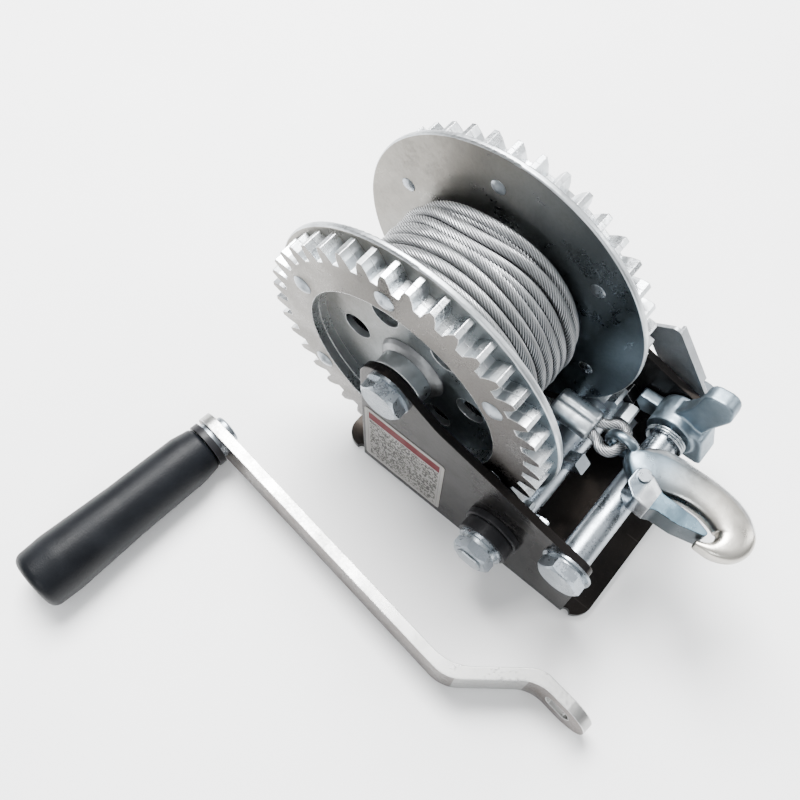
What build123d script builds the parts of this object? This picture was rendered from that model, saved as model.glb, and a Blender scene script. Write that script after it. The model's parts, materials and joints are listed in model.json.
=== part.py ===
from build123d import *
import math
import os

os.makedirs("parts", exist_ok=True)

# Boat trailer winch, millimetres.  X runs along the drum axle (near plate at -X), the rope
# leaves towards -Y, Z is up and the underside of the base is Z = 0.

# ---- driving dimensions --------------------------------------------------------------
PLATE_T = 4.0
PLATE_OUT = 53.0
PLATE_IN = PLATE_OUT - PLATE_T
BASE_HALF = 80.0
FRONT_EDGE = -69.0
REAR_EDGE = 65.0
EAR_TOP = 115.2
HOLE_R = 5.25
HOLE_DX = 22.0
HOLE_DY = 30.0
HOLE_CY = 38.0

DRUM_Y = 47.3
DRUM_Z = 103.0
FLANGE_R = 80.0
NEAR_OUT = -37.0
NEAR_IN = -33.5
FAR_IN = 26.7
FAR_OUT = 30.2
CORE_R = 28.0
HUB_R = 14.0
AXLE_R = 6.0
WIND_R = 52.0

MODULE = 3.68
TEETH = 40
PINION_TEETH = 10
PRESSURE = math.radians(20)
BACKLASH = 0.55
CENTRES = MODULE * (TEETH + PINION_TEETH) / 2
MESH_DEG = 222.44
SHAFT_Y = DRUM_Y + CENTRES * math.cos(math.radians(MESH_DEG))
SHAFT_Z = DRUM_Z + CENTRES * math.sin(math.radians(MESH_DEG))
SHAFT_R = 10.0
SLEEVE_R = 11.4
OPENING_R = 52.8
RIVET_CIRCLE = 60.9
RIVET_PHASE = 21.9

PIVOT_Y = -59.0
PIVOT_Z = 63.5
PIVOT_R = 6.0
SPACER_R = 7.6
RATCHET_R = 19.0

ROPE_D = 5.4
TAIL_X = 2.1
FERRULE_X = 5.5
FERRULE_Z = 77.0
HOOK_Z = 79.6
EYE_Y = -45.0

BAR_W = 28.0
BAR_T = 6.0
CRANK_R = 220.0
OFFSET = 31.0
CRANK_AT = Location((-92.8, -95.0, 14.1), (0, 0, 0)) * Rotation(0, 0, -5.8) * Rotation(0, 1.15, 0)


# ---- helpers -------------------------------------------------------------------------
def save(name, shape, colour):
    shape.label = name
    shape.color = Color(*colour)
    export_step(shape, "parts/" + name + ".step")
    size = shape.bounding_box().size
    print(name, len(shape.solids()), round(shape.volume), [round(v, 1) for v in size])


def outline(points):
    """Closed face from (a, b, corner radius) points."""
    count = len(points)
    starts = []
    ends = []
    mids = []
    for i in range(count):
        p = Vector(points[i][0], points[i][1])
        a = Vector(points[i - 1][0], points[i - 1][1])
        b = Vector(points[(i + 1) % count][0], points[(i + 1) % count][1])
        r = points[i][2]
        u = (a - p).normalized()
        w = (b - p).normalized()
        if r == 0:
            starts.append(p)
            ends.append(p)
            mids.append(None)
            continue
        half = math.acos(max(-1.0, min(1.0, u.dot(w)))) / 2
        reach = r / math.tan(half)
        centre = p + (u + w).normalized() * (r / math.sin(half))
        starts.append(p + u * reach)
        ends.append(p + w * reach)
        mids.append(centre + (p - centre).normalized() * r)
    edges = []
    for i in range(count):
        if mids[i] is not None:
            edges.append(ThreePointArc(starts[i], mids[i], ends[i]))
        nxt = starts[(i + 1) % count]
        if (nxt - ends[i]).length > 1e-4:
            edges.append(Line(ends[i], nxt))
    return make_face(edges)


def slab_x(face, x0, x1):
    """Extrude a (Y, Z) outline between two X stations."""
    plane = Plane(origin=(x0, 0, 0), x_dir=(0, 1, 0), z_dir=(1, 0, 0))
    return extrude(plane * face, x1 - x0)


def rod(y, z, r, x0, x1):
    plane = Plane(origin=(x0, y, z), x_dir=(0, 1, 0), z_dir=(1, 0, 0))
    return extrude(plane * Circle(r), x1 - x0)


def tube(y, z, r, bore, x0, x1):
    return rod(y, z, r, x0, x1) - rod(y, z, bore, x0 - 1, x1 + 1)


def hexagon(y, z, across, x0, x1, turn=0):
    plane = Plane(origin=(x0, y, z), x_dir=(0, 1, 0), z_dir=(1, 0, 0))
    face = RegularPolygon(across / 2, 6, major_radius=False, rotation=turn)
    return extrude(plane * face, x1 - x0)


def hex_head(y, z, across, x0, x1, outer, turn=0):
    """Hexagon with its outer corners turned off at 30 degrees."""
    body = hexagon(y, z, across, x0, x1, turn)
    drop = across * 0.08
    if outer < 0:
        cone = Plane(origin=(x0, y, z), z_dir=(1, 0, 0)) * Cone(
            across * 0.48, across * 0.48 + 40, 40 * drop / (across * 0.1), align=(Align.CENTER, Align.CENTER, Align.MIN))
    else:
        cone = Plane(origin=(x1, y, z), z_dir=(-1, 0, 0)) * Cone(
            across * 0.48, across * 0.48 + 40, 40 * drop / (across * 0.1), align=(Align.CENTER, Align.CENTER, Align.MIN))
    return body & cone


def gear_face(teeth, phase_deg, opening, relief=0.0):
    """Involute spur outline in (Y, Z), a tooth centred on phase_deg, with a round opening."""
    pitch = MODULE * teeth / 2
    base = pitch * math.cos(PRESSURE)
    tip = pitch + MODULE
    root = pitch - 1.25 * MODULE
    inv = math.tan(PRESSURE) - PRESSURE
    half = math.pi / (2 * teeth) - BACKLASH / (4 * pitch)
    radii = [max(base, root + 0.4), pitch, tip]
    flank = []
    for r in radii:
        a = math.acos(min(1.0, base / r))
        flank.append((r, half + inv - (math.tan(a) - a)))
    foot = flank[0][1] * (1 - relief)
    flank.insert(0, (root, foot))
    points = []
    for k in range(teeth):
        mid = math.radians(phase_deg) + 2 * math.pi * k / teeth
        for r, a in flank:
            points.append((r * math.cos(mid - a), r * math.sin(mid - a)))
        for r, a in reversed(flank):
            points.append((r * math.cos(mid + a), r * math.sin(mid + a)))
    face = make_face(Polyline(*points, close=True))
    return face - Circle(opening)


def at_drum(face, x0, x1):
    plane = Plane(origin=(x0, DRUM_Y, DRUM_Z), x_dir=(0, 1, 0), z_dir=(1, 0, 0))
    return extrude(plane * face, x1 - x0)


def at_shaft(face, x0, x1):
    plane = Plane(origin=(x0, SHAFT_Y, SHAFT_Z), x_dir=(0, 1, 0), z_dir=(1, 0, 0))
    return extrude(plane * face, x1 - x0)


def around(count, radius, phase_deg):
    for k in range(count):
        a = math.radians(phase_deg + 360.0 * k / count)
        yield radius * math.cos(a), radius * math.sin(a)


def corner_radii(points):
    """One radius per inner point: 0.45 of the shorter run over tan of half the turn."""
    found = []
    for i in range(1, len(points) - 1):
        a = Vector(*points[i]) - Vector(*points[i - 1])
        b = Vector(*points[i + 1]) - Vector(*points[i])
        turn = math.radians(a.get_angle(b))
        found.append(0.45 * min(a.length, b.length) / math.tan(turn / 2))
    return found


def cord(name, points, diameter):
    radii = corner_radii(points)
    path = FilletPolyline(*points, radius=radii)
    wire = Wire(path.edges()) if not isinstance(path, Wire) else path
    start = Plane(origin=wire @ 0, z_dir=wire % 0)
    solid = sweep(start * Circle(diameter / 2), path=wire)
    expected = math.pi * diameter * diameter / 4 * wire.length
    print(name, "radii", [round(r, 1) for r in radii], "length", round(wire.length, 1),
          "volume ratio", round(solid.volume / expected, 3))
    return solid


# ---- frame ---------------------------------------------------------------------------
def side_face():
    face = outline([
        (FRONT_EDGE, PLATE_T, 0),
        (FRONT_EDGE, 72.4, 7),
        (20.0, 99.0, 18),
        (44.0, EAR_TOP, 14),
        (REAR_EDGE, EAR_TOP, 16),
        (REAR_EDGE, PLATE_T, 0),
    ])
    face -= Pos(DRUM_Y, DRUM_Z) * Circle(AXLE_R + 0.1)
    face -= Pos(SHAFT_Y, SHAFT_Z) * Circle(12.1)
    face -= Pos(PIVOT_Y, PIVOT_Z) * Circle(PIVOT_R + 0.1)
    return face


def make_base():
    face = RectangleRounded(2 * PLATE_OUT, 2 * BASE_HALF, 10)
    for side in (-1, 1):
        face -= Pos(side * PLATE_OUT, FRONT_EDGE - 2.2) * Circle(2.2)
        face -= Pos(side * PLATE_OUT, REAR_EDGE + 2.2) * Circle(2.2)
        for end in (-1, 1):
            face -= Pos(side * HOLE_DX, HOLE_CY + end * HOLE_DY) * Circle(HOLE_R)
    return extrude(face, PLATE_T)


def make_side(x0):
    return slab_x(side_face(), x0, x0 + PLATE_T)


def make_label():
    face = outline([(12.5, 6.0, 2), (63.0, 6.0, 2), (63.0, 66.0, 2), (12.5, 66.0, 2)])
    return slab_x(face, -PLATE_OUT - 0.3, -PLATE_OUT)


# ---- drum ----------------------------------------------------------------------------
def make_flange(x0, x1):
    face = Circle(FLANGE_R) - Circle(HUB_R)
    for y, z in around(6, 33.0, 0.0):
        face -= Pos(y, z) * Circle(7.5)
    for y, z in around(6, RIVET_CIRCLE, RIVET_PHASE):
        face -= Pos(y, z) * Circle(3.1)
    solid = at_drum(face, x0, x1)
    rim = solid.edges().filter_by(GeomType.CIRCLE).sort_by(lambda e: e.radius)[-2:]
    return fillet(rim, 1.2)


def make_ring_gear(x0, x1):
    face = gear_face(TEETH, MESH_DEG + 180.0 / TEETH, OPENING_R)
    for y, z in around(6, RIVET_CIRCLE, RIVET_PHASE):
        face -= Pos(y, z) * Circle(3.1)
    return at_drum(face, x0, x1)


def make_rivets(x_head, x_tail, outward):
    """Six domed rivets; the head stands on the gear, the tail shows inside the flange."""
    group = []
    for dy, dz in around(6, RIVET_CIRCLE, RIVET_PHASE):
        shank = rod(DRUM_Y + dy, DRUM_Z + dz, 2.9, min(x_head, x_tail), max(x_head, x_tail))
        dome = Sphere(9.0) & Pos(0, 0, 7.3 + 5) * Box(20, 20, 10)
        tail = Sphere(7.6) & Pos(0, 0, 6.5 + 5) * Box(20, 20, 10)
        head_at = Plane(origin=(x_head - outward * 7.3, DRUM_Y + dy, DRUM_Z + dz), z_dir=(outward, 0, 0))
        tail_at = Plane(origin=(x_tail + outward * 6.5, DRUM_Y + dy, DRUM_Z + dz), z_dir=(-outward, 0, 0))
        group.append(shank + head_at * dome + tail_at * tail)
    return Compound(children=group)


def make_weld(x_face, outward):
    ring = Plane(origin=(x_face, DRUM_Y, DRUM_Z), z_dir=(outward, 0, 0))
    profile = Polygon((HUB_R, 0), (HUB_R + 4.0, 0), (HUB_R + 2.6, 2.2), (HUB_R, 4.0), align=None)
    return ring * revolve(Plane.XZ * profile, Axis.Z)


def make_winding():
    body = tube(DRUM_Y, DRUM_Z, WIND_R, CORE_R, NEAR_IN + 0.3, 18.8)
    last = tube(DRUM_Y, DRUM_Z, WIND_R - 2.4, CORE_R, 18.8, 24.6)
    return body + last


# ---- shaft parts ---------------------------------------------------------------------
def make_shaft():
    body = rod(SHAFT_Y, SHAFT_Z, SHAFT_R, -61.0, 57.5)
    stub = rod(SHAFT_Y, SHAFT_Z, 6.7, -74.5, -61.0)
    flat = Pos(-67.5, SHAFT_Y, SHAFT_Z) * (Box(15, 30, 30) - Box(16, 30, 10.4))
    end = fillet((stub - flat).edges().group_by(Axis.X)[0], 0.6)
    return body + end


def make_pinion(x0, x1):
    face = gear_face(PINION_TEETH, MESH_DEG - 180, SHAFT_R, 0.22)
    return at_shaft(face, x0, x1)


def make_ratchet():
    points = []
    for k in range(8):
        start = RATCHET_PHASE + 45.0 * k
        for r, a in ((14.5, -14.0), (RATCHET_R, -11.0), (RATCHET_R, 11.0), (14.5, 14.0)):
            t = math.radians(start + a)
            points.append((r * math.cos(t), r * math.sin(t)))
    face = make_face(Polyline(*points, close=True)) - Circle(SHAFT_R)
    return at_shaft(face, 41.0, 48.3)


def make_lug():
    block = Pos(-3.5, 0, 15.2) * Box(8, 8, 9)
    block = fillet(block.edges().filter_by(Axis.Z), 1.0)
    turned = Pos(0, SHAFT_Y, SHAFT_Z) * Rotation(48, 0, 0) * block
    return turned - rod(SHAFT_Y, SHAFT_Z, SLEEVE_R, -9, 3)


def make_bushing(side):
    wall = tube(SHAFT_Y, SHAFT_Z, 12.0, SHAFT_R + 0.05, 48.6, 53.0)
    flange = tube(SHAFT_Y, SHAFT_Z, 15.0, SHAFT_R + 0.05, 53.0, 56.8 if side < 0 else 55.5)
    flange = fillet(flange.edges().group_by(Axis.X)[-1].sort_by(SortBy.LENGTH)[-1], 0.8)
    body = wall + flange
    if side < 0:
        body = mirror(body, Plane.YZ)
    return body


# ---- pawl, lever, spring -------------------------------------------------------------
def make_pawl():
    hub = tube(PIVOT_Y, PIVOT_Z, 12.4, PIVOT_R + 0.05, 31.9, 48.5)
    bore = rod(PIVOT_Y, PIVOT_Z, PIVOT_R + 0.05, 30, 50)
    tab = outline([(-68.6, 66, 0), (-53.5, 72, 0), (-60.5, 88, 20), (-61.5, 104, 5.5),
                   (-75.5, 107, 6.2), (-77.5, 96, 8), (-73.5, 84, 14)])
    lobe = outline([(-62, 74, 2), (-73, 73.5, 3), (-79.5, 54.0, 3), (-62, 52.5, 2)])
    nose = outline([(-59, 52, 0), (-46.5, 52.5, 4), (-40.2, 50.2, 1), (-35.8, 56.5, 1.2), (-36.2, 62.8, 1.5),
                    (-50, 64.5, 4), (-52, 75, 3), (-59, 75, 0)])
    body = hub + slab_x(tab, 37.5, 45.5)
    body += slab_x(lobe, 33.0, 46.5)
    body += slab_x(nose, 41.4, 48.0)
    return body - bore


def make_pawl_spring():
    helix = Helix(pitch=1.5, height=3.6, radius=9.6, center=(0, 0, 0), direction=(0, 0, 1))
    start = Plane(origin=helix @ 0, z_dir=helix % 0)
    coil = sweep(start * Circle(0.6), path=helix)
    return Plane(origin=(26.6, PIVOT_Y, PIVOT_Z), z_dir=(1, 0, 0)) * coil


def make_lever():
    dy = -27.0 - PIVOT_Y
    dz = 104.0 - PIVOT_Z
    length = math.hypot(dy, dz)
    lean = math.degrees(math.atan2(dz, dy))
    web = outline([(-11, -10, 9.9), (length, -10, 4), (length, 10, 4), (-11, 10, 9.9)]) - Circle(PIVOT_R + 0.08)
    body = extrude(web, 2.0)
    for side in (-1, 1):
        body += Pos((length + 16) / 2 - 1, side * 9.2, 3.4) * Box(length - 18, 1.6, 2.8)
    rib = Pos(length * 0.62, 0, 2.0) * Box(length * 0.5, 3.4, 1.6)
    body += rib
    plane = Plane(origin=(54.2, PIVOT_Y, PIVOT_Z), x_dir=(0, math.cos(math.radians(lean)), math.sin(math.radians(lean))),
                  z_dir=(1, 0, 0))
    return plane * body


# ---- rope end ------------------------------------------------------------------------
def on_wind(radius, deg):
    a = math.radians(deg)
    return DRUM_Y + radius * math.cos(a), DRUM_Z + radius * math.sin(a)


def make_tail():
    lie = WIND_R + ROPE_D / 2 + 0.35
    far = lie / math.cos(math.radians(10))
    y0, z0 = on_wind(lie, 262)
    y1, z1 = on_wind(far, 252)
    y2, z2 = on_wind(far, 232)
    a = math.radians(222)
    reach = (FERRULE_Z - z2) / -math.cos(a)
    y3 = y2 + reach * math.sin(a)
    points = [(TAIL_X, y0, z0), (TAIL_X, y1, z1), (TAIL_X, y2, z2), (TAIL_X, y3, FERRULE_Z),
              (TAIL_X, y3 - 10.5, FERRULE_Z)]
    print("tail points", [(round(p[0], 2), round(p[1], 2), round(p[2], 2)) for p in points])
    return cord("rope_tail", points, ROPE_D)


def make_ferrule():
    half = ROPE_D / 2 + 2.2
    face = Rectangle(6.8, 2 * half) + Pos(-3.4, 0) * Circle(half) + Pos(3.4, 0) * Circle(half)
    for side in (-1, 1):
        face -= Pos(side * 3.4, 0) * Circle(ROPE_D / 2)
    plane = Plane(origin=(FERRULE_X, -8.1, FERRULE_Z), x_dir=(1, 0, 0), z_dir=(0, -1, 0))
    return extrude(plane * face, 22.2)


def make_loop():
    z = FERRULE_Z
    points = [(8.9, -26.5, z), (8.9, -33.5, z), (14.2, -38.6, z + 1.6), (11.6, EYE_Y, HOOK_Z),
              (-0.6, EYE_Y, HOOK_Z), (-3.2, -38.6, z + 1.6), (2.1, -33.5, z), (2.1, -26.5, z)]
    return cord("rope_loop", points, ROPE_D)


def hook_back():
    """Lens-shaped envelope that gives the hook's back its long slope on both sides."""
    edge = outline([
        (-70, -20, 0), (5.0, -20, 0), (14.9, -60.0, 60), (17.6, -78.0, 40), (16.9, -98.0, 26),
        (5.5, -118.4, 16), (-12.0, -118.4, 16), (-24, -106, 0), (-70, -106, 0),
    ])
    low = Pos(0, 0, HOOK_Z - 1.0) * extrude(edge, -5.2, taper=58)
    top = mirror(low, about=Plane.XY.offset(HOOK_Z))
    land = Pos(0, 0, HOOK_Z - 1.0) * extrude(edge, 2)
    return low, top, land


def make_hook():
    body = outline([
        (-8.5, -50.5, 3), (10.5, -50.5, 3), (14.6, -60.0, 16), (17.3, -78.0, 26), (16.6, -98.0, 22),
        (6.5, -118.0, 9), (-5.5, -118.0, 8), (-15.2, -107.0, 8), (-16.2, -95.4, 1.6), (-12.4, -94.6, 1.4),
        (-11.4, -99.0, 2.0), (-5.0, -100.8, 4.5), (-1.2, -95.4, 5), (-1.2, -75.0, 3.5), (-7.0, -71.5, 3.5),
        (-8.8, -62, 6),
    ])
    slab = Pos(0, 0, HOOK_Z - 6) * extrude(body, 12)
    low, top, land = hook_back()
    slab = (slab & low) + (slab & top) + (slab & land)
    flats = slab.faces().sort_by(Axis.Z)
    slab = fillet(flats[-1].edges() + flats[0].edges(), 0.4)
    ring = Plane(origin=(2.8, EYE_Y, HOOK_Z), x_dir=(0, 1, 0), z_dir=(1, 0, 0))
    eye = ring * extrude(Circle(8.6) + Pos(-7.0, 0) * Rectangle(6, 9.6), 5.4)
    eye -= rod(EYE_Y, HOOK_Z, 5.0, 0, 12)
    slab -= rod(EYE_Y, HOOK_Z, 7.4, -20, 30)
    body = slab + eye
    body -= Pos(-4.6, -61.6, HOOK_Z) * Cylinder(1.8, 40)
    return body


def latch_face():
    return outline([
        (-1.6, -57.0, 3), (-1.4, -64.5, 3), (-6.0, -72.5, 4), (-6.0, -90.0, 6), (-8.4, -97.4, 1.0),
        (-10.6, -97.2, 1.0), (-13.9, -85.0, 12), (-14.6, -74.0, 3), (-16.2, -71.5, 1), (-16.2, -63.0, 1.5),
        (-11.4, -57.0, 3),
    ])


def make_latch():
    """Folded sheet channel: a cheek on each side of the hook and an outer wall joining them."""
    sheet = 1.2
    gap = 0.3
    low = HOOK_Z - 6 - gap - sheet
    top = HOOK_Z + 6 + gap + sheet
    body = Pos(0, 0, low) * extrude(latch_face(), top - low)
    body -= Pos(sheet, 0, low + sheet) * extrude(latch_face(), top - low - 2 * sheet)
    body -= Pos(-4.6, -61.6, HOOK_Z) * Cylinder(1.8, 40)
    return body


def make_latch_pin():
    pin = Pos(-4.6, -61.6, HOOK_Z) * Cylinder(1.74, 12 + 2 * 1.5 + 1.0)
    heads = Pos(-4.6, -61.6, HOOK_Z + 8.2) * Cylinder(3.2, 1.2)
    heads += Pos(-4.6, -61.6, HOOK_Z - 8.2 + 0.15) * Cylinder(3.0, 0.9)
    return pin + heads


# ---- crank ---------------------------------------------------------------------------
def offset_line(points, distance):
    moved = []
    for i in range(len(points)):
        a = Vector(*points[max(i - 1, 0)])
        p = Vector(*points[i])
        b = Vector(*points[min(i + 1, len(points) - 1)])
        u = (p - a).normalized() if i else (b - p).normalized()
        w = (b - p).normalized() if i < len(points) - 1 else u
        bis = (u + w).normalized()
        scale = distance / max(0.2, bis.dot(u))
        moved.append((p.X - bis.Y * scale, p.Y + bis.X * scale))
    return moved


def make_bar():
    mid = [(0, -17), (0, 16), (-OFFSET, 47), (-OFFSET, CRANK_R + 14)]
    right = offset_line(mid, -BAR_T / 2)
    left = offset_line(mid, BAR_T / 2)
    radii = [0, 14, 20, 0]
    points = []
    for i in range(4):
        points.append((right[i][0], right[i][1], radii[i] + (BAR_T if i == 2 else 0)))
    for i in reversed(range(4)):
        points.append((left[i][0], left[i][1], radii[i] + (BAR_T if i == 1 else 0)))
    bar = Pos(0, 0, -BAR_W / 2) * extrude(outline(points), BAR_W)
    side = Plane(origin=(-80, 0, 0), x_dir=(0, 1, 0), z_dir=(1, 0, 0))
    shadow = outline([(-16, -14, 13), (CRANK_R + 13, -14, 13), (CRANK_R + 13, 14, 13), (-16, 14, 13)])
    bar = bar & extrude(side * shadow, 160)
    slot = Circle(7.0) & Rectangle(14, 10.8)
    bar -= extrude(side * slot, 160)
    bar -= extrude(side * Pos(CRANK_R, 0) * Circle(5.1), 160)
    return CRANK_AT * bar


def spindle_part(r, bore, p0, p1):
    """Round part on the grip spindle between two distances outboard of the crank hub."""
    plane = Plane(origin=(-p0, CRANK_R, 0), z_dir=(-1, 0, 0))
    face = Circle(r) - Circle(bore) if bore else Circle(r)
    return extrude(plane * face, p1 - p0)


def make_grip():
    profile = outline([(0, 40.6, 0), (12.6, 40.6, 2.5), (14.6, 52.0, 12), (15.2, 92.0, 60), (17.0, 132.0, 40),
                       (16.2, 148.4, 5.0), (0, 148.4, 0)])
    body = revolve(Plane(origin=(0, CRANK_R, 0), x_dir=(0, 0, 1), z_dir=(0, 1, 0)) * Rotation(0, 0, 0) * profile,
                   Axis((0, CRANK_R, 0), (1, 0, 0)))
    if body.bounding_box().max.X > 0:
        body = mirror(body, Plane.YZ)
    body -= spindle_part(5.06, 0, 40.0, 131.0)
    return CRANK_AT * body


def make_grip_bolt():
    body = spindle_part(5.0, 0, 27.0, 130.0)
    body += spindle_part(8.0, 0, 24.0, 27.99)
    edge = body.edges().group_by(Axis.X)[-1]
    body = fillet(edge, 1.4)
    return CRANK_AT * body


# The nose reaches its deepest point on this line of the ratchet wheel, between two teeth.
RATCHET_PHASE = math.degrees(math.atan2(50.2 - SHAFT_Z, -40.2 - SHAFT_Y)) - 22.5

BLACK = (0.05, 0.05, 0.055)
ZINC = (0.75, 0.77, 0.79)
STEEL = (0.62, 0.64, 0.66)
RUBBER = (0.04, 0.04, 0.045)


def main():
    save("base_plate", make_base(), BLACK)
    save("side_plate_near", make_side(-PLATE_OUT), BLACK)
    save("side_plate_far", make_side(PLATE_IN), BLACK)
    save("plate_label", make_label(), (0.8, 0.8, 0.78))

    save("drum_hub", tube(DRUM_Y, DRUM_Z, HUB_R, AXLE_R + 0.06, -48.7, 48.7), ZINC)
    save("drum_core", tube(DRUM_Y, DRUM_Z, CORE_R, HUB_R + 8, NEAR_IN, FAR_IN), ZINC)
    save("near_flange", make_flange(NEAR_OUT, NEAR_IN), ZINC)
    save("far_flange", make_flange(FAR_IN, FAR_OUT), ZINC)
    save("near_gear_outer", make_ring_gear(-46.7, -41.9), ZINC)
    save("near_gear_inner", make_ring_gear(-41.9, NEAR_OUT), ZINC)
    save("far_gear_inner", make_ring_gear(FAR_OUT, 35.1), ZINC)
    save("far_gear_outer", make_ring_gear(35.1, 40.0), ZINC)
    save("near_rivets", make_rivets(-46.7, NEAR_IN, -1), STEEL)
    save("far_rivets", make_rivets(40.0, FAR_IN, 1), STEEL)
    save("near_weld", make_weld(NEAR_OUT, -1), STEEL)
    save("far_weld", make_weld(FAR_OUT, 1), STEEL)
    save("rope_winding", make_winding(), STEEL)

    save("axle_bolt", hex_head(DRUM_Y, DRUM_Z, 20, -61.2, -54.6, -1, 10)
         + rod(DRUM_Y, DRUM_Z, AXLE_R, -54.7, 66.0), ZINC)
    save("axle_washer_near", tube(DRUM_Y, DRUM_Z, 12.0, AXLE_R, -54.6, -PLATE_OUT), ZINC)
    save("axle_washer_far", tube(DRUM_Y, DRUM_Z, 12.0, AXLE_R, PLATE_OUT, 54.6), ZINC)
    save("axle_nut", hex_head(DRUM_Y, DRUM_Z, 19, 54.6, 63.6, 1, 20)
         - rod(DRUM_Y, DRUM_Z, AXLE_R, 50, 70), ZINC)

    save("drive_shaft", make_shaft(), STEEL)
    save("near_pinion", make_pinion(-47.8, -37.4), STEEL)
    save("far_pinion", make_pinion(30.6, 40.6), STEEL)
    save("shaft_sleeve", tube(SHAFT_Y, SHAFT_Z, SLEEVE_R, SHAFT_R, -37.4, 30.6), ZINC)
    save("shaft_lug", make_lug(), ZINC)
    save("ratchet_wheel", make_ratchet(), BLACK)
    save("bushing_near", make_bushing(-1), RUBBER)
    save("bushing_far", make_bushing(1), RUBBER)
    save("shaft_ring", tube(SHAFT_Y, SHAFT_Z, 13.6, 6.7, -61.0 - 2.6, -61.0)
         + tube(SHAFT_Y, SHAFT_Z, 13.6, SHAFT_R, -61.0, -57.2), RUBBER)
    save("shaft_washer", tube(SHAFT_Y, SHAFT_Z, 12.0, 6.7, -65.4, -63.6), ZINC)
    save("spring_washer", tube(SHAFT_Y, SHAFT_Z, 10.2, 6.7, -67.4, -65.4), STEEL)
    save("shaft_nut", hex_head(SHAFT_Y, SHAFT_Z, 19, -73.2, -67.4, -1, 12)
         - rod(SHAFT_Y, SHAFT_Z, 6.7, -80, -60), ZINC)

    save("pivot_bolt", hex_head(PIVOT_Y, PIVOT_Z, 20, -61.6, -55.2, -1, 4)
         + rod(PIVOT_Y, PIVOT_Z, PIVOT_R, -55.3, 65.5), ZINC)
    washers = tube(PIVOT_Y, PIVOT_Z, 12.6, PIVOT_R, -54.2, -PLATE_OUT)
    save("pivot_washer_near", washers, ZINC)
    save("pivot_spring_washer", tube(PIVOT_Y, PIVOT_Z, 10.6, PIVOT_R, -55.2, -54.2), STEEL)
    save("pivot_washer_far", tube(PIVOT_Y, PIVOT_Z, 10.5, PIVOT_R, PLATE_OUT, 54.0), ZINC)
    save("pivot_nut", hex_head(PIVOT_Y, PIVOT_Z, 18, 56.5, 64.0, 1, 8)
         - rod(PIVOT_Y, PIVOT_Z, PIVOT_R, 50, 70), ZINC)
    save("spacer_tube", tube(PIVOT_Y, PIVOT_Z, SPACER_R, PIVOT_R, -PLATE_IN, 31.6), ZINC)
    save("pawl", make_pawl(), STEEL)
    save("pawl_spring", make_pawl_spring(), STEEL)
    save("latch_lever", make_lever(), ZINC)

    save("rope_tail", make_tail(), STEEL)
    save("rope_ferrule", make_ferrule(), ZINC)
    save("rope_loop", make_loop(), STEEL)
    save("hook", make_hook(), STEEL)
    save("safety_latch", make_latch(), ZINC)
    save("latch_pin", make_latch_pin(), STEEL)

    save("crank_arm", make_bar(), ZINC)
    save("crank_grip", make_grip(), RUBBER)
    save("grip_bolt", make_grip_bolt(), ZINC)
    save("grip_washer", CRANK_AT * spindle_part(11.0, 5.0, 34.0, 36.4), ZINC)
    save("grip_ring", CRANK_AT * spindle_part(13.0, 5.0, 36.4, 40.2), RUBBER)


main()
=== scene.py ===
import json
import math
import bpy
import numpy as np
from mathutils import Matrix, Vector


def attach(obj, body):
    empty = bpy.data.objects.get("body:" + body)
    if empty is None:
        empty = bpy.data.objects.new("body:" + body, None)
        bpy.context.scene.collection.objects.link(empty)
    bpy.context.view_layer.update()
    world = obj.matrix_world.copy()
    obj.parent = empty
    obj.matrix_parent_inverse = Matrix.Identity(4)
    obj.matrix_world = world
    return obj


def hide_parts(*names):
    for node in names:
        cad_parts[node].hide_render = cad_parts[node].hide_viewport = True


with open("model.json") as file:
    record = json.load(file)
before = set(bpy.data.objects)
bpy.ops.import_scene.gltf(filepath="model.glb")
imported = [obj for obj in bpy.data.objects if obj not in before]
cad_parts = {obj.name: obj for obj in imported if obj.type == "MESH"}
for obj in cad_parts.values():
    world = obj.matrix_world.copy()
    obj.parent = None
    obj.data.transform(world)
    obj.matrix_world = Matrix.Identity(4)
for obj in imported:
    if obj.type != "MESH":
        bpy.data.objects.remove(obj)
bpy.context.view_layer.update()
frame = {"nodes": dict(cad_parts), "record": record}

# Lengths are in metres, angles in degrees, unless a name or a comment says otherwise.
MM = 0.001
DRUM_Y, DRUM_Z = 0.0473, 0.103  # the drum's axis
FLOOR_Z = -0.0002
FLOOR_REACH = 30.0

# The camera was solved from the gears, plates and bolts in the photograph.
CAMERA_TARGET = Vector((-0.01518, 0.07133, 0.02332))
CAMERA_AZIMUTH, CAMERA_ELEVATION, CAMERA_ROLL = 51.52, 63.92, 2.0
CAMERA_DISTANCE = 0.4857
CAMERA_LENS_MM, CAMERA_SENSOR_MM = 39.78, 36
CAMERA_SHIFT = (-0.0006, -0.024)

ROPE_WIRES = 12
WOUND_RADIUS = 0.0027
FREE_RADIUS = 0.00268
ROPE_LAY, EYE_LAY = 0.026, 0.024  # length of one round of the wires
WOUND_STEP, FREE_STEP = 0.00048, 0.0004  # spacing of the rope's rings


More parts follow.
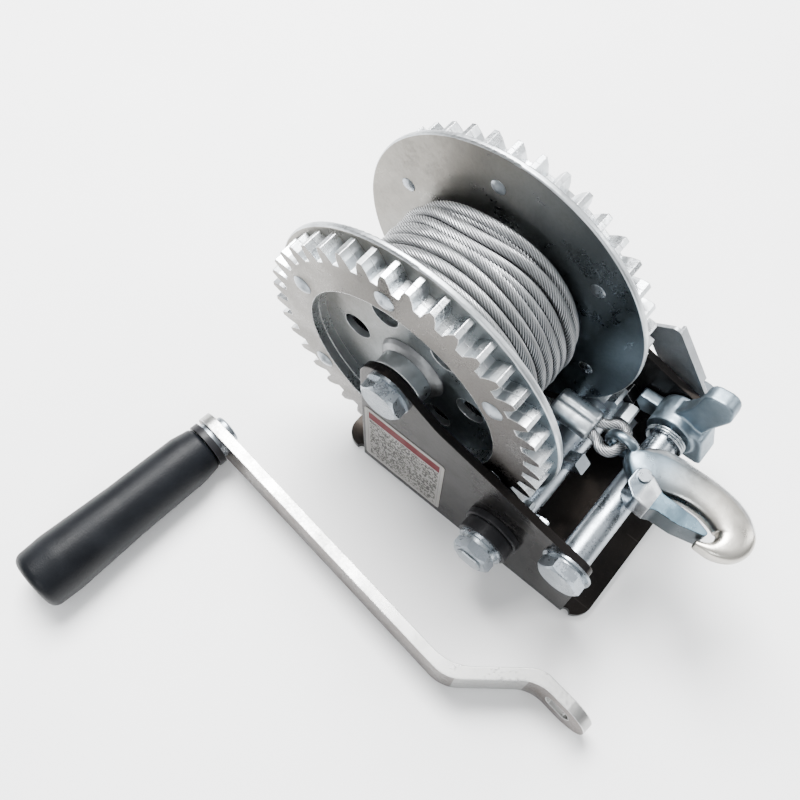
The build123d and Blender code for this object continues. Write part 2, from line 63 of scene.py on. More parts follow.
# ---- camera --------------------------------------------------------------------------
def make_camera():
    az, el, roll = (math.radians(a) for a in (CAMERA_AZIMUTH, CAMERA_ELEVATION, CAMERA_ROLL))
    back = Vector((-math.sin(az) * math.cos(el), -math.cos(az) * math.cos(el), math.sin(el)))
    right = (-back).cross(Vector((0, 0, 1))).normalized()
    up = right.cross(-back)
    side = right * math.cos(roll) + up * math.sin(roll)
    top = up * math.cos(roll) - right * math.sin(roll)
    data = bpy.data.cameras.new("camera")
    cam = bpy.data.objects.new("camera", data)
    bpy.context.scene.collection.objects.link(cam)
    turn = Matrix((side, top, back)).transposed().to_4x4()
    cam.matrix_world = Matrix.Translation(CAMERA_TARGET + back * CAMERA_DISTANCE) @ turn
    data.sensor_width = CAMERA_SENSOR_MM
    data.lens = CAMERA_LENS_MM
    data.shift_x, data.shift_y = CAMERA_SHIFT
    data.clip_start = 0.01
    data.clip_end = 20
    bpy.context.scene.camera = cam


# ---- materials -----------------------------------------------------------------------
class Nodes:
    """Small helper round a material's node tree."""

    def __init__(self, name):
        self.mat = bpy.data.materials.new(name)
        self.mat.use_nodes = True
        self.tree = self.mat.node_tree
        self.shader = self.tree.nodes["Principled BSDF"]

    def add(self, kind):
        return self.tree.nodes.new(kind)

    def link(self, a, b):
        self.tree.links.new(a, b)

    def put(self, socket, value):
        """Link the value, if it comes from another node, or set it."""
        if hasattr(value, "is_output"):
            self.link(value, socket)
        else:
            socket.default_value = value

    def look(self, **values):
        """Principled inputs, by their names with spaces written as underscores."""
        for name, value in values.items():
            self.put(self.shader.inputs[name.replace("_", " ")], value)

    def split(self, vector):
        """X, Y and Z of a vector."""
        axes = self.add("ShaderNodeSeparateXYZ")
        self.link(vector, axes.inputs["Vector"])
        return [axes.outputs[name] for name in "XYZ"]

    def place(self):
        """X, Y and Z of the point, in the object's own metres."""
        return self.split(self.add("ShaderNodeTexCoord").outputs["Object"])

    def normal(self, kind="Normal"):
        return self.add("ShaderNodeNewGeometry").outputs[kind]

    def dot(self, a, b):
        node = self.add("ShaderNodeVectorMath")
        node.operation = "DOT_PRODUCT"
        self.put(node.inputs[0], a)
        self.put(node.inputs[1], b)
        return node.outputs["Value"]

    def rounded_normal(self, radius):
        bevel = self.add("ShaderNodeBevel")
        bevel.samples = 4
        bevel.inputs["Radius"].default_value = radius
        return bevel.outputs["Normal"]

    def noise(self, size, detail=4.0, stretch=(1, 1, 1), rough=0.55):
        """Cloudy 0 to 1 pattern with about size features in a metre."""
        scale = self.add("ShaderNodeMapping")
        scale.inputs["Scale"].default_value = stretch
        self.link(self.add("ShaderNodeTexCoord").outputs["Object"], scale.inputs["Vector"])
        node = self.add("ShaderNodeTexNoise")
        node.inputs["Scale"].default_value = size
        node.inputs["Detail"].default_value = detail
        node.inputs["Roughness"].default_value = rough
        self.link(scale.outputs["Vector"], node.inputs["Vector"])
        return node.outputs["Fac"]

    def spread(self, source, low, high, start=0.35, end=0.65):
        """Map start..end of the source to low..high, and hold it there."""
        node = self.add("ShaderNodeMapRange")
        node.inputs["From Min"].default_value = start
        node.inputs["From Max"].default_value = end
        node.inputs["To Min"].default_value = low
        node.inputs["To Max"].default_value = high
        self.link(source, node.inputs["Value"])
        return node.outputs["Result"]

    def blend(self, amount, a, b):
        """Colour a, turning into colour b as the amount goes from 0 to 1."""
        node = self.add("ShaderNodeMix")
        node.data_type = "RGBA"
        self.link(amount, node.inputs[0])
        for socket, value in ((node.inputs[6], a), (node.inputs[7], b)):
            self.put(socket, value if hasattr(value, "is_output") else (*value, 1))
        return node.outputs[2]

    def maths(self, kind, a, b=0.0):
        node = self.add("ShaderNodeMath")
        node.operation = kind
        self.put(node.inputs[0], a)
        self.put(node.inputs[1], b)
        return node.outputs[0]

    def bump(self, height, strength, distance=0.0003, edge=0.0):
        node = self.add("ShaderNodeBump")
        node.inputs["Strength"].default_value = strength
        node.inputs["Distance"].default_value = distance
        self.link(height, node.inputs["Height"])
        if edge:
            self.link(self.rounded_normal(edge), node.inputs["Normal"])
        self.link(node.outputs["Normal"], self.shader.inputs["Normal"])


STAIN = (0.05, 0.052, 0.055)
GROOVE_SHADE = (0.03, 0.032, 0.035)
DULLER = 0.62  # how far the clouds darken a plated tone


def painted_side_light(n, base, cloud, faces):
    """Painted reflection and shade on faces that look along X: faces[0] on the upper rear, faces[1] on the
    lower front.
    """
    _, y, z = n.place()
    slope = n.maths("ADD", y, n.maths("MULTIPLY", z, 0.6))
    slope = n.maths("ADD", slope, n.maths("MULTIPLY", cloud, 0.03))
    # Painted reflection and shade: the two side tones are blended by where the face lies on the part.
    tone = n.blend(n.spread(slope, 0.0, 1.0, 0.07, 0.19), faces[1], faces[0])
    x, _, _ = n.split(n.normal("True Normal"))
    flat = n.maths("GREATER_THAN", n.maths("ABSOLUTE", x), 0.9)
    return n.blend(flat, base, tone)


def painted_groove_shade(n, base, reach):
    # Painted shade: ambient occlusion darkens the hollows toward a near-black tone.
    shade = n.add("ShaderNodeAmbientOcclusion")
    shade.samples = 6
    shade.inputs["Distance"].default_value = reach
    return n.blend(n.spread(shade.outputs["AO"], 0.0, 1.0, 0.45, 0.95), GROOVE_SHADE, base)


def edge_wear_and_highlight(n, base, edge, wear_and_highlight):
    """Edge wear and a painted highlight, in this tone where the rounded normal leaves the face's own."""
    # Edge wear and painted highlight along the rounded edges.
    agree = n.dot(n.rounded_normal(max(edge, 0.0004)), n.normal())
    return n.blend(n.spread(agree, 1.0, 0.0, 0.88, 0.995), base, wear_and_highlight)


def plated(name, colour, rough, dirt, grain, edge, bump=0.12, faces=None, wear_and_highlight=None, groove_shade=0.0):
    """Zinc plate or bare steel: cloudy tone, stains as strong as dirt, fine grain, an edge radius,
    and, where given, painted reflection and shade on the flat sides, edge wear with a painted highlight, and
    painted shade in narrow hollows."""
    n = Nodes(name)
    cloud = n.noise(60.0, 5.0)
    stain = n.noise(22.0, 6.0, rough=0.7)
    fine = n.noise(grain, 3.0)
    base = n.blend(n.spread(cloud, 0.0, 0.55), colour, tuple(c * DULLER for c in colour))
    # faces holds the painted reflection and shade tones for the flat sides.
    if faces:
        base = painted_side_light(n, base, cloud, faces)
    base = n.blend(n.spread(stain, 0.0, dirt, 0.52, 0.75), base, STAIN)
    if groove_shade:
        base = painted_groove_shade(n, base, groove_shade)
    if wear_and_highlight:
        base = edge_wear_and_highlight(n, base, edge, wear_and_highlight)
    roughness = n.maths("ADD", n.spread(cloud, rough - 0.07, rough + 0.1), n.spread(fine, 0.0, 0.12))
    n.look(Base_Color=base, Metallic=1.0, Roughness=roughness)
    n.bump(n.maths("ADD", fine, n.maths("MULTIPLY", cloud, 1.5)), bump, 0.0002, edge)
    return n.mat


def paint_black():
    """Thin black paint with dust and a few scratches. Its reflections are kept weak and warm."""
    n = Nodes("frame_black")
    cloud = n.noise(35.0, 5.0)
    peel = n.noise(420.0, 2.0)
    dust = n.noise(1600.0, 4.0, rough=0.8)
    scratch = n.noise(260.0, 2.0, (1.0, 0.06, 1.0))
    base = n.blend(n.spread(dust, 0.0, 0.4, 0.60, 0.75), (0.006, 0.0058, 0.006), (0.06, 0.055, 0.05))
    base = n.blend(n.spread(scratch, 0.0, 0.10, 0.66, 0.72), base, (0.20, 0.19, 0.18))
    n.look(Base_Color=base, Roughness=n.spread(cloud, 0.16, 0.30), Specular_IOR_Level=0.10,
           Specular_Tint=(1.0, 0.80, 0.66, 1), Coat_Weight=0.03, Coat_Roughness=0.12)
    n.bump(n.maths("ADD", peel, n.maths("MULTIPLY", dust, 0.3)), 0.10, 0.0003, 0.0008)
    return n.mat


def plastic(name, colour, rough, grain, strength):
    n = Nodes(name)
    cloud = n.noise(30.0, 4.0)
    pebble = n.noise(grain, 3.0)
    base = n.blend(n.spread(cloud, 0.0, 1.0), colour, tuple(c * 1.9 + 0.002 for c in colour))
    n.look(Base_Color=base, Roughness=n.spread(cloud, rough - 0.08, rough + 0.08), Specular_IOR_Level=0.13)
    n.bump(pebble, strength, 0.0004, 0.0005)
    return n.mat


# The label's own Y and Z limits, as (low Y, high Y, low Z, high Z).
LABEL_RULE_OUT = (0.0142, 0.0613, 0.0080, 0.0640)
LABEL_RULE_IN = (0.0147, 0.0608, 0.0085, 0.0635)
LABEL_BAND = (0.0152, 0.0603, 0.0552, 0.0630)
LABEL_TEXT = (0.0155, 0.0600, 0.0095, 0.0540)
LABEL_ROW_WAVES = 3900.0  # radians in a metre


def label_print():
    """Plain printed film: red band along the top edge, ruled frame, rows of grey speckle."""
    n = Nodes("label_print")
    _, y, z = n.place()

    def between(value, low, high):
        return n.maths("MULTIPLY", n.maths("GREATER_THAN", value, low), n.maths("LESS_THAN", value, high))

    def inside(limits):
        return n.maths("MULTIPLY", between(y, *limits[:2]), between(z, *limits[2:]))

    speck = n.noise(800.0, 1.0, (1.0, 1.0, 0.7), 0.7)
    rows = n.maths("GREATER_THAN", n.maths("SINE", n.maths("MULTIPLY", z, LABEL_ROW_WAVES)), -0.75)
    ink = n.maths("MULTIPLY", n.spread(speck, 0.0, 1.0, 0.44, 0.54), rows)
    ink = n.maths("MULTIPLY", ink, inside(LABEL_TEXT))
    base = n.blend(ink, (0.30, 0.29, 0.275), (0.012, 0.0115, 0.011))
    rule = n.maths("SUBTRACT", inside(LABEL_RULE_OUT), inside(LABEL_RULE_IN))
    base = n.blend(rule, base, (0.22, 0.21, 0.20))
    red = n.blend(n.spread(n.noise(300.0), 0.0, 0.5), (0.085, 0.004, 0.008), (0.12, 0.010, 0.014))
    base = n.blend(inside(LABEL_BAND), base, red)
    n.look(Base_Color=base, Roughness=n.spread(n.noise(60.0), 0.35, 0.5), Specular_IOR_Level=0.06)
    n.bump(n.noise(500.0), 0.08, 0.0002)
    return n.mat


def hook_steel():
    """Forged and plated: blue-grey at the neck, with a painted warm reflection toward the end and a painted
    highlight along the back.
    """
    n = Nodes("hook_steel")
    cloud = n.noise(70.0, 5.0)
    pits = n.noise(260.0, 4.0, rough=0.7)
    _, y, _ = n.place()
    # Painted reflection: the blue-grey turns to a warm grey toward the hook's far end.
    along = n.maths("ADD", y, n.maths("MULTIPLY", cloud, 0.012))
    base = n.blend(n.spread(along, 0.0, 1.0, -0.088, -0.058), (0.46, 0.44, 0.40), (0.17, 0.215, 0.25))
    # Painted highlight: near white where the surface faces up and toward +X.
    back = n.dot(n.normal(), (0.86, -0.1, 0.5))
    edge = n.maths("ADD", back, n.maths("MULTIPLY", pits, 0.10))
    base = n.blend(n.spread(edge, 0.0, 1.0, 0.72, 0.86), base, (0.88, 0.89, 0.89))
    base = n.blend(n.spread(pits, 0.0, 0.45, 0.60, 0.75), base, (0.10, 0.10, 0.10))
    n.look(Base_Color=base, Metallic=1.0, Roughness=n.spread(cloud, 0.24, 0.40))
    n.bump(n.maths("ADD", pits, cloud), 0.22, 0.0003)
    return n.mat


LATCH_ROOT_Y = -0.0715
LATCH_NECK_Y = (-0.0655, -0.0635)


def latch_zinc():
    """Blue plated tongue with a painted sky reflection on its upward faces and painted shade on its flanks, a
    bare silver root and a blue-grey neck.
    """
    n = Nodes("latch_zinc")
    cloud = n.noise(90.0, 5.0)
    _, _, up = n.split(n.normal())
    # Painted light: upward faces take a light-blue sky reflection, and faces that turn sideways take a
    # painted shade.
    base = n.blend(n.spread(up, 0.0, 1.0, 0.45, 0.85), (0.012, 0.024, 0.032), (0.20, 0.30, 0.37))
    _, y, _ = n.place()
    base = n.blend(n.maths("GREATER_THAN", y, LATCH_ROOT_Y), base, (0.50, 0.52, 0.54))
    base = n.blend(n.spread(y, 0.0, 1.0, *LATCH_NECK_Y), base, (0.17, 0.205, 0.235))
    n.look(Base_Color=base, Metallic=1.0, Roughness=n.spread(cloud, 0.16, 0.32))
    n.bump(n.noise(500.0, 3.0), 0.12, 0.0002)
    return n.mat


def make_materials():
    """The materials, by the record's slot names."""
    # The bright tone is a painted highlight along rounded edges; each faces pair is painted reflection and
    # shade on flat sides.
    bright = (0.82, 0.83, 0.84)
    metals = {
        "zinc_drum": dict(colour=(0.55, 0.58, 0.60), rough=0.30, dirt=0.3, grain=700.0, edge=0.0005,
                          faces=((0.185, 0.175, 0.155), (0.15, 0.19, 0.22)), wear_and_highlight=bright),
        "zinc_gear": dict(colour=(0.66, 0.69, 0.71), rough=0.25, dirt=0.30, grain=900.0, edge=0.0006,
                          faces=((0.145, 0.135, 0.12), (0.06, 0.055, 0.052)), wear_and_highlight=bright),
        "rivet_steel": dict(colour=(0.32, 0.35, 0.38), rough=0.24, dirt=0.2, grain=900.0, edge=0.0004),
        "weld_steel": dict(colour=(0.22, 0.225, 0.23), rough=0.40, dirt=0.5, grain=420.0, edge=0.0008,
                           bump=0.7),
        # The rope gets painted shade between its wires, out to the reach given below.
        "wire_rope": dict(colour=(0.42, 0.43, 0.44), rough=0.36, dirt=0.35, grain=1500.0, edge=0.0,
                          groove_shade=0.0011),
        "zinc_bolt": dict(colour=(0.31, 0.345, 0.38), rough=0.24, dirt=0.05, grain=800.0, edge=0.0,
                          bump=0.02),
        "shaft_steel": dict(colour=(0.42, 0.46, 0.49), rough=0.26, dirt=0.12, grain=900.0, edge=0.0,
                            bump=0.02),
        "ratchet_black": dict(colour=(0.03, 0.032, 0.034), rough=0.34, dirt=0.3, grain=600.0, edge=0.0006,
                              wear_and_highlight=(0.4, 0.41, 0.42)),
        "pawl_steel": dict(colour=(0.20, 0.25, 0.29), rough=0.36, dirt=0.25, grain=500.0, edge=0.0010,
                           bump=0.2),
        "lever_zinc": dict(colour=(0.42, 0.44, 0.46), rough=0.38, dirt=0.3, grain=700.0, edge=0.0004,
                           wear_and_highlight=bright),
        "ferrule_alu": dict(colour=(0.50, 0.54, 0.57), rough=0.27, dirt=0.25, grain=700.0, edge=0.0005),
        "crank_zinc": dict(colour=(0.44, 0.44, 0.43), rough=0.27, dirt=0.3, grain=800.0, edge=0.0008,
                           bump=0.05, faces=((0.17, 0.14, 0.12), (0.12, 0.10, 0.09)), wear_and_highlight=bright),
    }
    made = {"frame_black": paint_black(), "label_print": label_print(), "hook_steel": hook_steel(),
            "latch_zinc": latch_zinc(),
            "bush_plastic": plastic("bush_plastic", (0.008, 0.008, 0.009), 0.34, 500.0, 0.12),
            "grip_rubber": plastic("grip_rubber", (0.002, 0.0025, 0.0035), 0.40, 1400.0, 0.35)}
    for name, recipe in metals.items():
        made[name] = plated(name, **recipe)
    return made


# ---- wire rope -----------------------------------------------------------------------
def follow(points):
    """Points along the smooth line that a route, given in mm, pulls out."""
    data = bpy.data.curves.new("route", "CURVE")
    data.dimensions = "3D"
    data.resolution_u = 24
    spline = data.splines.new("NURBS")
    spline.points.add(len(points) - 1)
    for point, place in zip(spline.points, points):
        point.co = (place[0] * MM, place[1] * MM, place[2] * MM, 1)
    spline.order_u = 3
    spline.use_endpoint_u = True
    obj = bpy.data.objects.new("route", data)
    bpy.context.scene.collection.objects.link(obj)
    bpy.context.view_layer.update()
    mesh = bpy.data.meshes.new_from_object(obj.evaluated_get(bpy.context.evaluated_depsgraph_get()))
    found = np.array([v.co[:] for v in mesh.vertices])
    bpy.data.objects.remove(obj)
    bpy.data.meshes.remove(mesh)
    return found


def even(line, step, closed=False):
    """The line's points spaced a step apart, how far along each is, and the line's length."""
    if closed:
        line = np.vstack([line, line[:1]])
    run = np.concatenate([[0], np.cumsum(np.linalg.norm(np.diff(line, axis=0), axis=1))])
    count = max(4, int(run[-1] / step))
    at = np.linspace(0, run[-1], count + 1)
    if closed:
        at = at[:-1]
    return np.stack([np.interp(at, run, line[:, k]) for k in range(3)], axis=1), at, run[-1]


def tube_faces(rings, count, closed=False):
    """Quads between rings of count points, and a cap on each end unless the tube is closed."""
    faces = []
    for i in range(rings if closed else rings - 1):
        near, far = i * count, (i + 1) % rings * count
        for k in range(count):
            n = (k + 1) % count
            faces.append([near + k, near + n, far + n, far + k])
    if not closed:
        faces.append(list(range(count))[::-1])
        faces.append([(rings - 1) * count + k for k in range(count)])
    return faces


def laid_tube(line, radius, lay, step, closed=False, guide=(1, 0, 0)):
    """Vertices and faces of a rope whose outer wires run round it once every lay."""
    wires, points_on_wire = ROPE_WIRES, 4
    points, at, total = even(line, step, closed)
    if closed:
        lay = total / max(1, round(total / lay))
        ahead = np.roll(points, -1, axis=0) - np.roll(points, 1, axis=0)
    else:
        ahead = np.gradient(points, axis=0)
    ahead /= np.linalg.norm(ahead, axis=1)[:, None]
    side = np.array(guide, float) - ahead * (ahead @ np.array(guide, float))[:, None]
    side /= np.linalg.norm(side, axis=1)[:, None]
    third = np.cross(ahead, side)
    s = math.sin(math.pi / wires)
    wire = s / (1 + s)
    reach = 1 - wire
    count = wires * points_on_wire
    turn = np.arange(count) * 2 * math.pi / count
    off = (turn + math.pi / wires) % (2 * math.pi / wires) - math.pi / wires
    shape = reach * np.cos(off) + np.sqrt(np.maximum(0, wire ** 2 - (reach * np.sin(off)) ** 2))
    angle = turn[None, :] + (at / lay * 2 * math.pi)[:, None]
    out = (np.cos(angle) * shape * radius)[:, :, None] * side[:, None, :]
    out = out + (np.sin(angle) * shape * radius)[:, :, None] * third[:, None, :]
    verts = (points[:, None, :] + out).reshape(-1, 3)
    return verts, tube_faces(len(points), count, closed)


def mesh_object(name, groups, material):
    """One smooth mesh of several (vertices, faces) groups."""
    verts = []
    faces = []
    start = 0
    for v, f in groups:
        verts.extend(map(tuple, v))
        faces.extend([[k + start for k in face] for face in f])
        start += len(v)
    mesh = bpy.data.meshes.new(name)
    mesh.from_pydata(verts, [], faces)
    mesh.update()
    mesh.shade_smooth()
    mesh.materials.append(material)
    obj = bpy.data.objects.new(name, mesh)
    bpy.context.scene.collection.objects.link(obj)
    return obj


TURN_POINTS = 240
TOP_ANGLE, TOP_WIDTH = 1.45, 0.55  # radians: where the outer turns cross each other


def turn_of_rope(x, radius, drift=0.0, phase=0.0, wobble=0.0, cross=0.0, dip=0.0):
    """One closed turn round the drum, in mm. It drifts sideways over part of its way and comes
    back; cross pulls it sideways near the top, where it lies over its neighbours or dips under."""
    points = []
    for k in range(TURN_POINTS):
        a = 2 * math.pi * k / TURN_POINTS
        slide = drift * 0.5 * (1 - math.cos(a - phase))
        sway = wobble * math.sin(3 * a + x)
        top = math.exp(-((a - TOP_ANGLE) / TOP_WIDTH) ** 2)
        r = (radius - dip * top) * MM
        points.append(((x + slide + sway + cross * top) * MM, DRUM_Y + r * math.cos(a),
                       DRUM_Z + r * math.sin(a)))
    return np.array(points)


# In mm: the outer layer's turns start at OUTER_X, the inner layer lies in their gaps, and one
# last turn lies lower beside the outer ones.
TURN_GAP = 5.62
OUTER_X, OUTER_RADIUS = -30.3, 49.1
INNER_X, INNER_RADIUS, INNER_TURNS = -27.6, 44.4, 9
LAST_X, LAST_RADIUS = 20.9, 46.6
# How far each outer turn is pulled sideways at the top, and how far it dips there.
OUTER_TURNS = [(0, 0), (0, 0.4), (0.4, 0), (1.2, 0.5), (1.8, 1.4), (2.6, 2.4), (-1.6, 3.0),
               (-4.6, 1.2), (-6.4, 0)]


def make_winding(material):
    step = WOUND_STEP
    groups = []

    def lay_turn(line, step):
        groups.append(laid_tube(line, WOUND_RADIUS, ROPE_LAY, step, closed=True))

    for k, (cross, dip) in enumerate(OUTER_TURNS):
        at_flange = k in (0, len(OUTER_TURNS) - 1)
        drift = 1.6 * math.sin(k * 1.7) * (0.3 if at_flange else 1)
        radius = OUTER_RADIUS - 0.35 * (k % 2)
        lay_turn(turn_of_rope(OUTER_X + TURN_GAP * k, radius, drift, 0.7 * k, 0.22, cross, dip), step)
    lay_turn(turn_of_rope(LAST_X, LAST_RADIUS, 0.9, 1.0, 0.3, -2.0), step)
    for k in range(INNER_TURNS):
        lay_turn(turn_of_rope(INNER_X + TURN_GAP * k, INNER_RADIUS, 0.5, k, 0.1), step * 1.4)
    return mesh_object("wound_rope", groups, material)


# The routes of part.py's rope_tail and rope_loop, in mm.
TAIL = [(2.1, 39.64, 48.49), (2.1, 30.03, 49.84), (2.1, 12.88, 58.95), (2.1, -3.37, 77.0),
        (2.1, -13.87, 77.0)]
LOOP = [(8.9, -26.5, 77.0), (8.9, -33.5, 77.0), (14.2, -38.6, 78.6), (11.6, -45.0, 79.6),
        (-0.6, -45.0, 79.6), (-3.2, -38.6, 78.6), (2.1, -33.5, 77.0), (2.1, -26.5, 77.0)]


def make_rope_end(material):
    """The free tail and the eye beyond the ferrule, each with its centreline."""
    tail_line = follow(TAIL)
    tail = mesh_object("rope_end", [laid_tube(tail_line, FREE_RADIUS, ROPE_LAY, FREE_STEP)], material)
    loop_line = follow(LOOP)
    loop_tube = laid_tube(loop_line, FREE_RADIUS, EYE_LAY, FREE_STEP, guide=(0.2, 0.1, 1))
    loop = mesh_object("rope_eye", [loop_tube], material)
    return tail, tail_line, loop, loop_line


# In mm: the sleeve's centre and half sizes across the rope, and its sections as (Y, relative size).
FERRULE_X, FERRULE_Z = 5.5, 77.0
FERRULE_WIDE, FERRULE_HIGH = 8.25, 4.85
FERRULE_GROOVE, FERRULE_GROOVE_WIDTH = 0.85, 1.1
FERRULE_SECTIONS = [(-8.1, 0.80), (-8.5, 0.93), (-9.6, 1.0), (-19.0, 1.0), (-20.0, 0.985), (-21.0, 1.0),
                    (-28.6, 1.0), (-29.8, 0.94), (-30.3, 0.82)]


def make_ferrule(material):
    """Pressed double sleeve: two barrels, a groove between them and rolled ends."""
    verts = []
    count = 64
    for y, size in FERRULE_SECTIONS:
        for k in range(count):
            a = 2 * math.pi * k / count
            c, s = math.cos(a), math.sin(a)
            x = FERRULE_WIDE * math.copysign(abs(c) ** 0.86, c)
            z = FERRULE_HIGH * math.copysign(abs(s) ** 0.80, s)
            z -= math.copysign(FERRULE_GROOVE * math.exp(-(x / FERRULE_GROOVE_WIDTH) ** 2), s)
            verts.append(((FERRULE_X + x * size) * MM, y * MM, (FERRULE_Z + z * size) * MM))
    faces = tube_faces(len(FERRULE_SECTIONS), count)
    return mesh_object("ferrule_sleeve", [(np.array(verts), faces)], material)


# ---- hook ----------------------------------------------------------------------------
def swept(rows, z, power, count=48):
    """A closed bar along (x, y, half width, half height) rows at one z, with a rounded section.
    Everything is in mm. Each of four rounds cuts the corners of the rows' path."""
    rows = np.array(rows, float)
    for _ in range(4):
        first = rows[:-1] * 0.75 + rows[1:] * 0.25
        second = rows[:-1] * 0.25 + rows[1:] * 0.75
        between = np.stack([first, second], axis=1).reshape(-1, rows.shape[1])
        rows = np.vstack([rows[:1], between, rows[-1:]])
    ahead = np.gradient(rows[:, :2], axis=0)
    ahead /= np.linalg.norm(ahead, axis=1)[:, None]
    side = np.stack([-ahead[:, 1], ahead[:, 0], np.zeros(len(rows))], axis=1)
    turn = np.arange(count) * 2 * math.pi / count
    across = np.sign(np.cos(turn)) * np.abs(np.cos(turn)) ** (2 / power)
    above = np.sign(np.sin(turn)) * np.abs(np.sin(turn)) ** (2 / power)
    centre = np.stack([rows[:, 0], rows[:, 1], np.full(len(rows), z)], axis=1)
    verts = centre[:, None, :] + side[:, None, :] * (rows[:, 2:3] * across)[:, :, None]
    verts = verts + np.array([0, 0, 1.0]) * (rows[:, 3:4] * above)[:, :, None]
    return verts.reshape(-1, 3) * MM, tube_faces(len(rows), count)


def ring_shape(centre, radius, radial, half, count=64, sides=24):
    """A closed ring standing across X, in mm: radial and half are its section's half sizes."""
    verts = []
    for i in range(count):
        a = 2 * math.pi * i / count
        for k in range(sides):
            b = 2 * math.pi * k / sides
            r = radius + radial * math.cos(b)
            verts.append(((centre[0] + half * math.sin(b)) * MM, (centre[1] + r * math.cos(a)) * MM,
                          (centre[2] + r * math.sin(a)) * MM))
    return np.array(verts), tube_faces(count, sides, closed=True)


def melted(obj, voxel, rounds):
    """One skin over the overlapping shapes of a mesh, smoothed where they meet."""
    skin = obj.modifiers.new("skin", "REMESH")
    skin.mode = "VOXEL"
    skin.voxel_size = voxel
    soft = obj.modifiers.new("soft", "SMOOTH")
    soft.iterations = rounds
    soft.factor = 0.5
    bpy.context.view_layer.update()
    mesh = bpy.data.meshes.new_from_object(obj.evaluated_get(bpy.context.evaluated_depsgraph_get()))
    obj.modifiers.clear()
    old = obj.data
    obj.data = mesh
    bpy.data.meshes.remove(old)
    mesh.shade_smooth()
    return obj


HOOK_Z = 79.6  # mm
# From the eye round the bend to the point: X, Y, half width and half height, in mm.
HOOK_ROWS = [(5.4, -50.4, 2.6, 4.2), (3.6, -53.6, 7.6, 5.8), (2.8, -61.0, 11.8, 6.1), (5.6, -69.0, 11.2, 6.1),
             (8.0, -79.0, 9.5, 6.1), (8.4, -91.0, 9.2, 6.1), (6.2, -102.0, 9.6, 6.1), (1.0, -108.6, 9.2, 6.1),
             (-5.6, -108.4, 7.8, 5.9), (-11.0, -104.4, 4.2, 5.2), (-12.9, -99.4, 2.3, 4.4),
             (-13.5, -95.6, 1.6, 3.2)]
HOOK_EYE_X, HOOK_EYE_Y, HOOK_EYE_RADIUS = 5.5, -45.0, 6.8


def make_hook(material):
    body = swept(HOOK_ROWS, HOOK_Z, 2.7)
    eye = ring_shape((HOOK_EYE_X, HOOK_EYE_Y, HOOK_Z), HOOK_EYE_RADIUS, 1.9, 2.8)
    hook = mesh_object("hook_forging", [body, eye], material)
    return melted(hook, 0.0004, 5)


def rounded_copy(node, name, voxel, rounds, material):
    """The CAD node's own shape with its sharp edges softened, as cast or pressed metal has them."""
    mesh = frame["nodes"][node].data.copy()
    mesh.name = name
    mesh.materials.clear()
    mesh.materials.append(material)
    obj = bpy.data.objects.new(name, mesh)
    bpy.context.scene.collection.objects.link(obj)
    return melted(obj, voxel, rounds)


# ---- stage ---------------------------------------------------------------------------
def area(name, place, aim, size, power, colour=(1, 1, 1)):
    """A rectangular lamp of the given power in watts, turned to its aim."""
    data = bpy.data.lights.new(name, "AREA")
    data.shape = "RECTANGLE"
    data.size, data.size_y = size
    data.energy = power
    data.color = colour
    obj = bpy.data.objects.new(name, data)
    obj.location = place
    obj.rotation_euler = (Vector(aim) - Vector(place)).to_track_quat("-Z", "Y").to_euler()
    bpy.context.scene.collection.objects.link(obj)


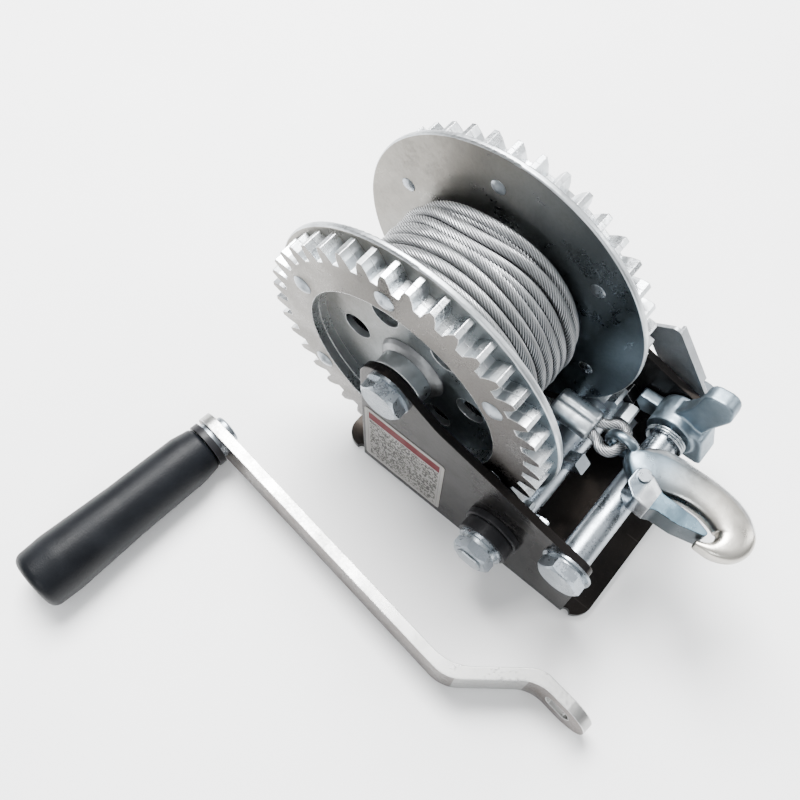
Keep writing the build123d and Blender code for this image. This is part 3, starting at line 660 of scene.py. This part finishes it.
def make_stage():
    n = Nodes("floor_white")
    soft = n.noise(8.0, 3.0)
    base = n.blend(n.spread(soft, 0.0, 1.0), (0.90, 0.90, 0.90), (0.93, 0.93, 0.93))
    n.look(Base_Color=base, Roughness=0.75)
    n.bump(n.noise(60.0), 0.02)
    mesh = bpy.data.meshes.new("floor")
    corners = [(-1, -1), (1, -1), (1, 1), (-1, 1)]
    mesh.from_pydata([(x * FLOOR_REACH, y * FLOOR_REACH, FLOOR_Z) for x, y in corners], [], [[0, 1, 2, 3]])
    mesh.materials.append(n.mat)
    floor = bpy.data.objects.new("floor", mesh)
    bpy.context.scene.collection.objects.link(floor)
    make_world()
    area("key", (0.35, 0.55, 1.25), (0, 0.03, 0.06), (0.75, 0.75), 96.0)
    area("fill", (-1.2, -0.5, 0.9), (0, 0, 0.05), (0.5, 0.5), 9.0, (0.95, 0.98, 1.0))
    area("rim", (0.9, -0.9, 0.8), (0, 0, 0.08), (0.3, 1.0), 9.0)


def make_world():
    """Studio surround: bright overhead and grey towards the horizon."""
    world = bpy.data.worlds.new("studio")
    world.use_nodes = True
    tree = world.node_tree
    place = tree.nodes.new("ShaderNodeTexCoord")
    axes = tree.nodes.new("ShaderNodeSeparateXYZ")
    ramp = tree.nodes.new("ShaderNodeMapRange")
    ramp.inputs["From Min"].default_value = 0.1
    ramp.inputs["From Max"].default_value = 0.95
    ramp.inputs["To Min"].default_value = 0.28
    ramp.inputs["To Max"].default_value = 1.25
    tree.links.new(place.outputs["Generated"], axes.inputs["Vector"])
    tree.links.new(axes.outputs["Z"], ramp.inputs["Value"])
    tree.links.new(ramp.outputs["Result"], tree.nodes["Background"].inputs["Strength"])
    tree.nodes["Background"].inputs["Color"].default_value = (0.97, 0.985, 1.0, 1)
    bpy.context.scene.world = world


# ---- build ---------------------------------------------------------------------------
make_camera()
materials = make_materials()
# Every CAD node shows in its slot's material, until a detailed piece below replaces it.
slots = {part["node"]: part["material_slot"] for part in frame["record"]["subparts"]}
for node, obj in frame["nodes"].items():
    obj.data.materials.clear()
    obj.data.materials.append(materials[slots[node]])

tail, tail_line, loop, loop_line = make_rope_end(materials["wire_rope"])
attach(tail, "frame")
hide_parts("rope_tail")
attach(loop, "frame")
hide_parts("rope_loop")
ferrule = make_ferrule(materials["ferrule_alu"])
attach(ferrule, "frame")
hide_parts("rope_ferrule")

winding = make_winding(materials["wire_rope"])
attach(winding, "drum")
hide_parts("rope_winding")

hook = make_hook(materials["hook_steel"])
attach(hook, "hook")
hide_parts("hook")
coarser = 1.0
softened = (("safety_latch", "latch_pressing", "latch", 0.00032, 5),
            ("pawl", "pawl_casting", "pawl", 0.00045, 7))
for node, name, body, voxel, rounds in softened:
    piece = rounded_copy(node, name, voxel * coarser, rounds, materials[slots[node]])
    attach(piece, body)
    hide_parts(node)

make_stage()
